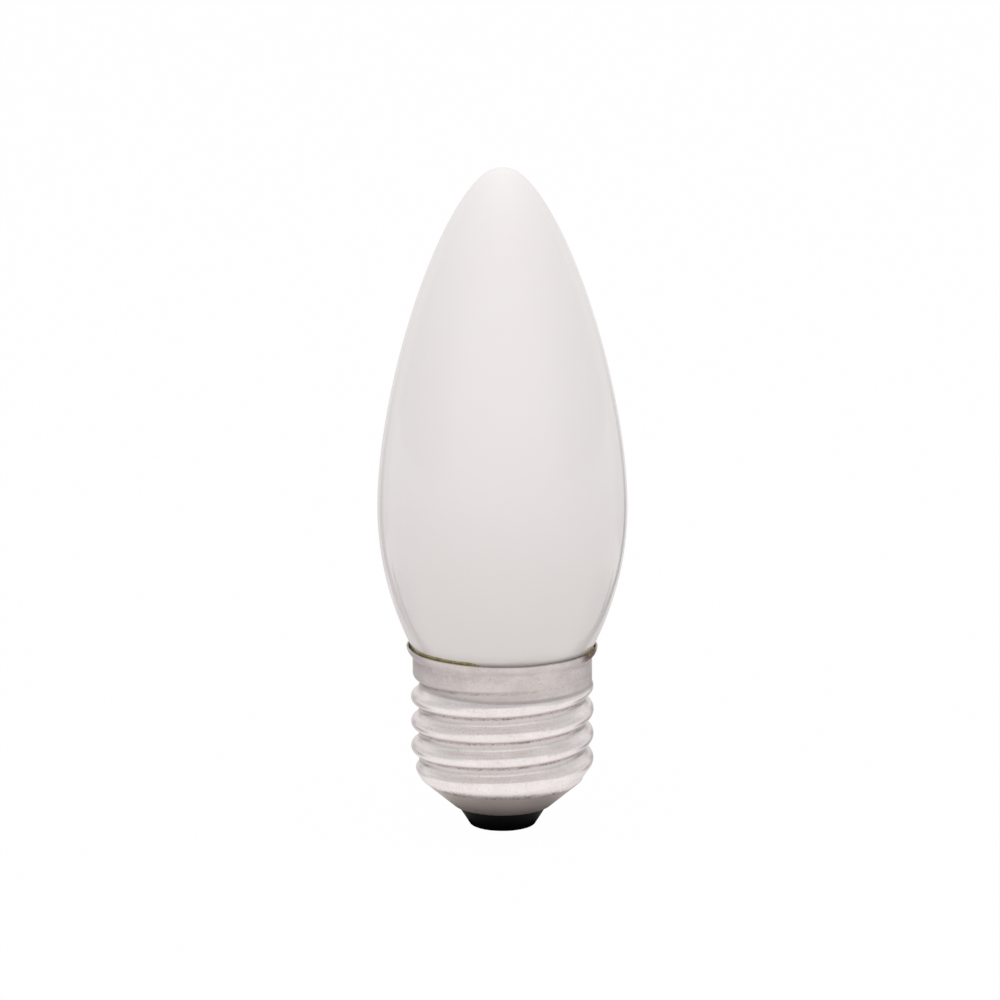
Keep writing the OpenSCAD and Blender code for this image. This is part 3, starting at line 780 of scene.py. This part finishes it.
def with_strips(m, plain, strips, along, where):
    """The plain level, darkened by the two strips, which lie along a value in millimetres."""
    right = m.step(m.axis("X"), -MM, MM)
    aside, lean, half, growth, level = (
        m.math("ADD", one, m.math("MULTIPLY", right, other - one)) for one, other in zip(*strips))
    middle = m.math("ADD", aside, m.math("MULTIPLY", lean, along))
    across = m.math("DIVIDE", m.math("ABSOLUTE", m.axis("X")), MM)
    away = m.math("ABSOLUTE", m.math("SUBTRACT", across, middle))
    width = m.math("ADD", half, m.math("MULTIPLY", growth, along))
    share = m.math("MULTIPLY", m.step(m.math("DIVIDE", away, width), STRIP_OUT, STRIP_IN), where)
    return m.math("ADD", plain, m.math("MULTIPLY", share, m.math("SUBTRACT", level, plain)))


def back_glow(m):
    """Pale behind the lamp and a little brighter higher up, with the strips."""
    up = m.math("DIVIDE", m.axis("Z"), MM)
    level = m.math("ADD", BACK_GLOW, m.step(up, 0, FLAG_TOP, BACK_BRIGHTER))
    return with_strips(m, level, FLAGS, BACK_DISTANCE, m.step(up, FLAG_TOP, FLAG_FADE))


only_in_reflections(stage_mesh(
    "back_reflected",
    [(-BACK_HALF, BACK_DISTANCE, CARD_FOOT), (BACK_HALF, BACK_DISTANCE, CARD_FOOT),
     (BACK_HALF, BACK_DISTANCE, BACK_TOP), (-BACK_HALF, BACK_DISTANCE, BACK_TOP)],
    [(0, 1, 2, 3)], glow_material("back_reflected", back_glow)))

# Radii on the floor in millimetres, from one to the next, and by how much its level changes there
FLOOR_DARK, BEHIND_DIMMER = 0.05, 0.30
FLOOR_STEPS = ((5, 8, 0.2), (8, 14, 0.75), (110, 300, -0.06))
# Radii between which the dimmer part behind the lamp ends, and places along Y between which it sets in
BEHIND_END, BEHIND_FULL, BEHIND_START, BEHIND_SET_IN = 130, 80, -10, 25
# Places along Y between which the strips set in on the floor, and between which the near ones end again
FLAGS_FROM, STRIPS_FROM, STRIPS_TO = (2, 12), (8, 16), (85, 60)


def floor_glow(m):
    """Painted shadow of the lamp right under it, white round it, greyer with the distance and behind, with
    the strips; the near strips are painted shadows of the lamp.
    """
    flat = m.add("ShaderNodeVectorMath", {0: m.place}, operation="LENGTH").outputs["Value"]
    level = FLOOR_DARK
    for near, far, change in FLOOR_STEPS:
        level = m.math("ADD", level, m.step(flat, near * MM, far * MM, change))
    back = m.math("DIVIDE", m.axis("Y"), MM)
    dimmer = m.step(flat, BEHIND_END * MM, BEHIND_FULL * MM, BEHIND_DIMMER)
    behind = m.step(back, BEHIND_START, BEHIND_SET_IN)
    level = m.math("SUBTRACT", level, m.math("MULTIPLY", dimmer, behind))
    level = with_strips(m, level, FLAGS, back, m.step(back, *FLAGS_FROM))
    where = m.math("MULTIPLY", m.step(back, *STRIPS_FROM), m.step(back, *STRIPS_TO))
    return with_strips(m, level, NEAR_STRIPS, back, where)


FRONT_DISTANCE, FRONT_HALF, FRONT_TOP = 400, 600, 900
FRONT_BRIGHT_H, FRONT_DIM_H, FRONT_DIM = 180, 500, 0.62


def front_glow(m):
    """White low down and dimmer above."""
    return m.math("ADD", FRONT_DIM, m.step(m.axis("Z"), FRONT_DIM_H * MM, FRONT_BRIGHT_H * MM, 1 - FRONT_DIM))


only_in_reflections(stage_mesh(
    "front_reflected",
    [(FRONT_HALF, -FRONT_DISTANCE, CARD_FOOT), (-FRONT_HALF, -FRONT_DISTANCE, CARD_FOOT),
     (-FRONT_HALF, -FRONT_DISTANCE, FRONT_TOP), (FRONT_HALF, -FRONT_DISTANCE, FRONT_TOP)],
    [(0, 1, 2, 3)], glow_material("front_reflected", front_glow)))

REFLECTED_R, REFLECTED_H, REFLECTED_SIDES = 420, 0.1, 64
ring_angles = [2 * pi * j / REFLECTED_SIDES for j in range(REFLECTED_SIDES)]
ring_points = [(REFLECTED_R * cos(a), REFLECTED_R * sin(a), REFLECTED_H) for a in ring_angles]
only_in_reflections(stage_mesh("floor_reflected", ring_points, [tuple(range(REFLECTED_SIDES))],
                               glow_material("floor_reflected", floor_glow)))

# Light: even light from all round, a large soft box overhead and a little in front
world = bpy.data.worlds.new("studio")
bpy.context.scene.world = world
world.use_nodes = True
world.node_tree.nodes.clear()
SKY_SEEN, SKY_LIT, SKY_REFLECTED = 1.0, 0.78, 0.70
path = add_node(world.node_tree, "ShaderNodeLightPath")
unreflected = add_node(world.node_tree, "ShaderNodeMapRange", {
    "Value": seen_white(world.node_tree), "To Min": SKY_LIT, "To Max": SKY_SEEN})
strength = add_node(world.node_tree, "ShaderNodeMath", {
    0: path.outputs["Is Glossy Ray"], 1: SKY_REFLECTED - SKY_SEEN, 2: unreflected.outputs[0]},
    operation="MULTIPLY_ADD")
sky = add_node(world.node_tree, "ShaderNodeBackground", {
    "Color": (1, 0.99, 0.985, 1), "Strength": strength.outputs[0]})
add_node(world.node_tree, "ShaderNodeOutputWorld", {"Surface": sky.outputs[0]})


def soft_box(name, place, aim, size, glow):
    """A round area light of that radiance, size in metres, that no reflection shows."""
    lamp = bpy.data.lights.new(name, "AREA")
    lamp.shape = "ELLIPSE"
    lamp.size = lamp.size_y = size
    lamp.energy = glow * pi * pi * size * size / 4
    made = bpy.data.objects.new(name, lamp)
    made.location = place
    made.rotation_euler = (Vector(aim) - Vector(place)).to_track_quat("-Z", "Y").to_euler()
    made.visible_glossy = False
    bpy.context.scene.collection.objects.link(made)


BOX_PLACE, BOX_AIM, BOX_SIZE, BOX_GLOW = (0, -0.25, 0.74), (0, 0, 0.05), 0.8, 1.5
soft_box("soft_box_top", BOX_PLACE, BOX_AIM, BOX_SIZE, BOX_GLOW)

# Camera: slightly above, aimed at the middle of the lamp
CAMERA_UP, CAMERA_BACK, AIM_H, ASIDE = radians(12), 600, 48, -0.34
SENSOR_W, LENS = 36, 152.7
camera_data = bpy.data.cameras.new("camera")
camera_data.sensor_width = SENSOR_W
camera_data.lens = LENS
camera = bpy.data.objects.new("camera", camera_data)
camera_h = AIM_H + CAMERA_BACK * sin(CAMERA_UP)
camera.location = (ASIDE * MM, -CAMERA_BACK * MM * cos(CAMERA_UP), camera_h * MM)
aim = Vector((ASIDE * MM, 0, AIM_H * MM))
camera.rotation_euler = (aim - camera.location).to_track_quat("-Z", "Y").to_euler()
bpy.context.scene.collection.objects.link(camera)
bpy.context.scene.camera = camera

bpy.context.scene.view_settings.view_transform = "Standard"
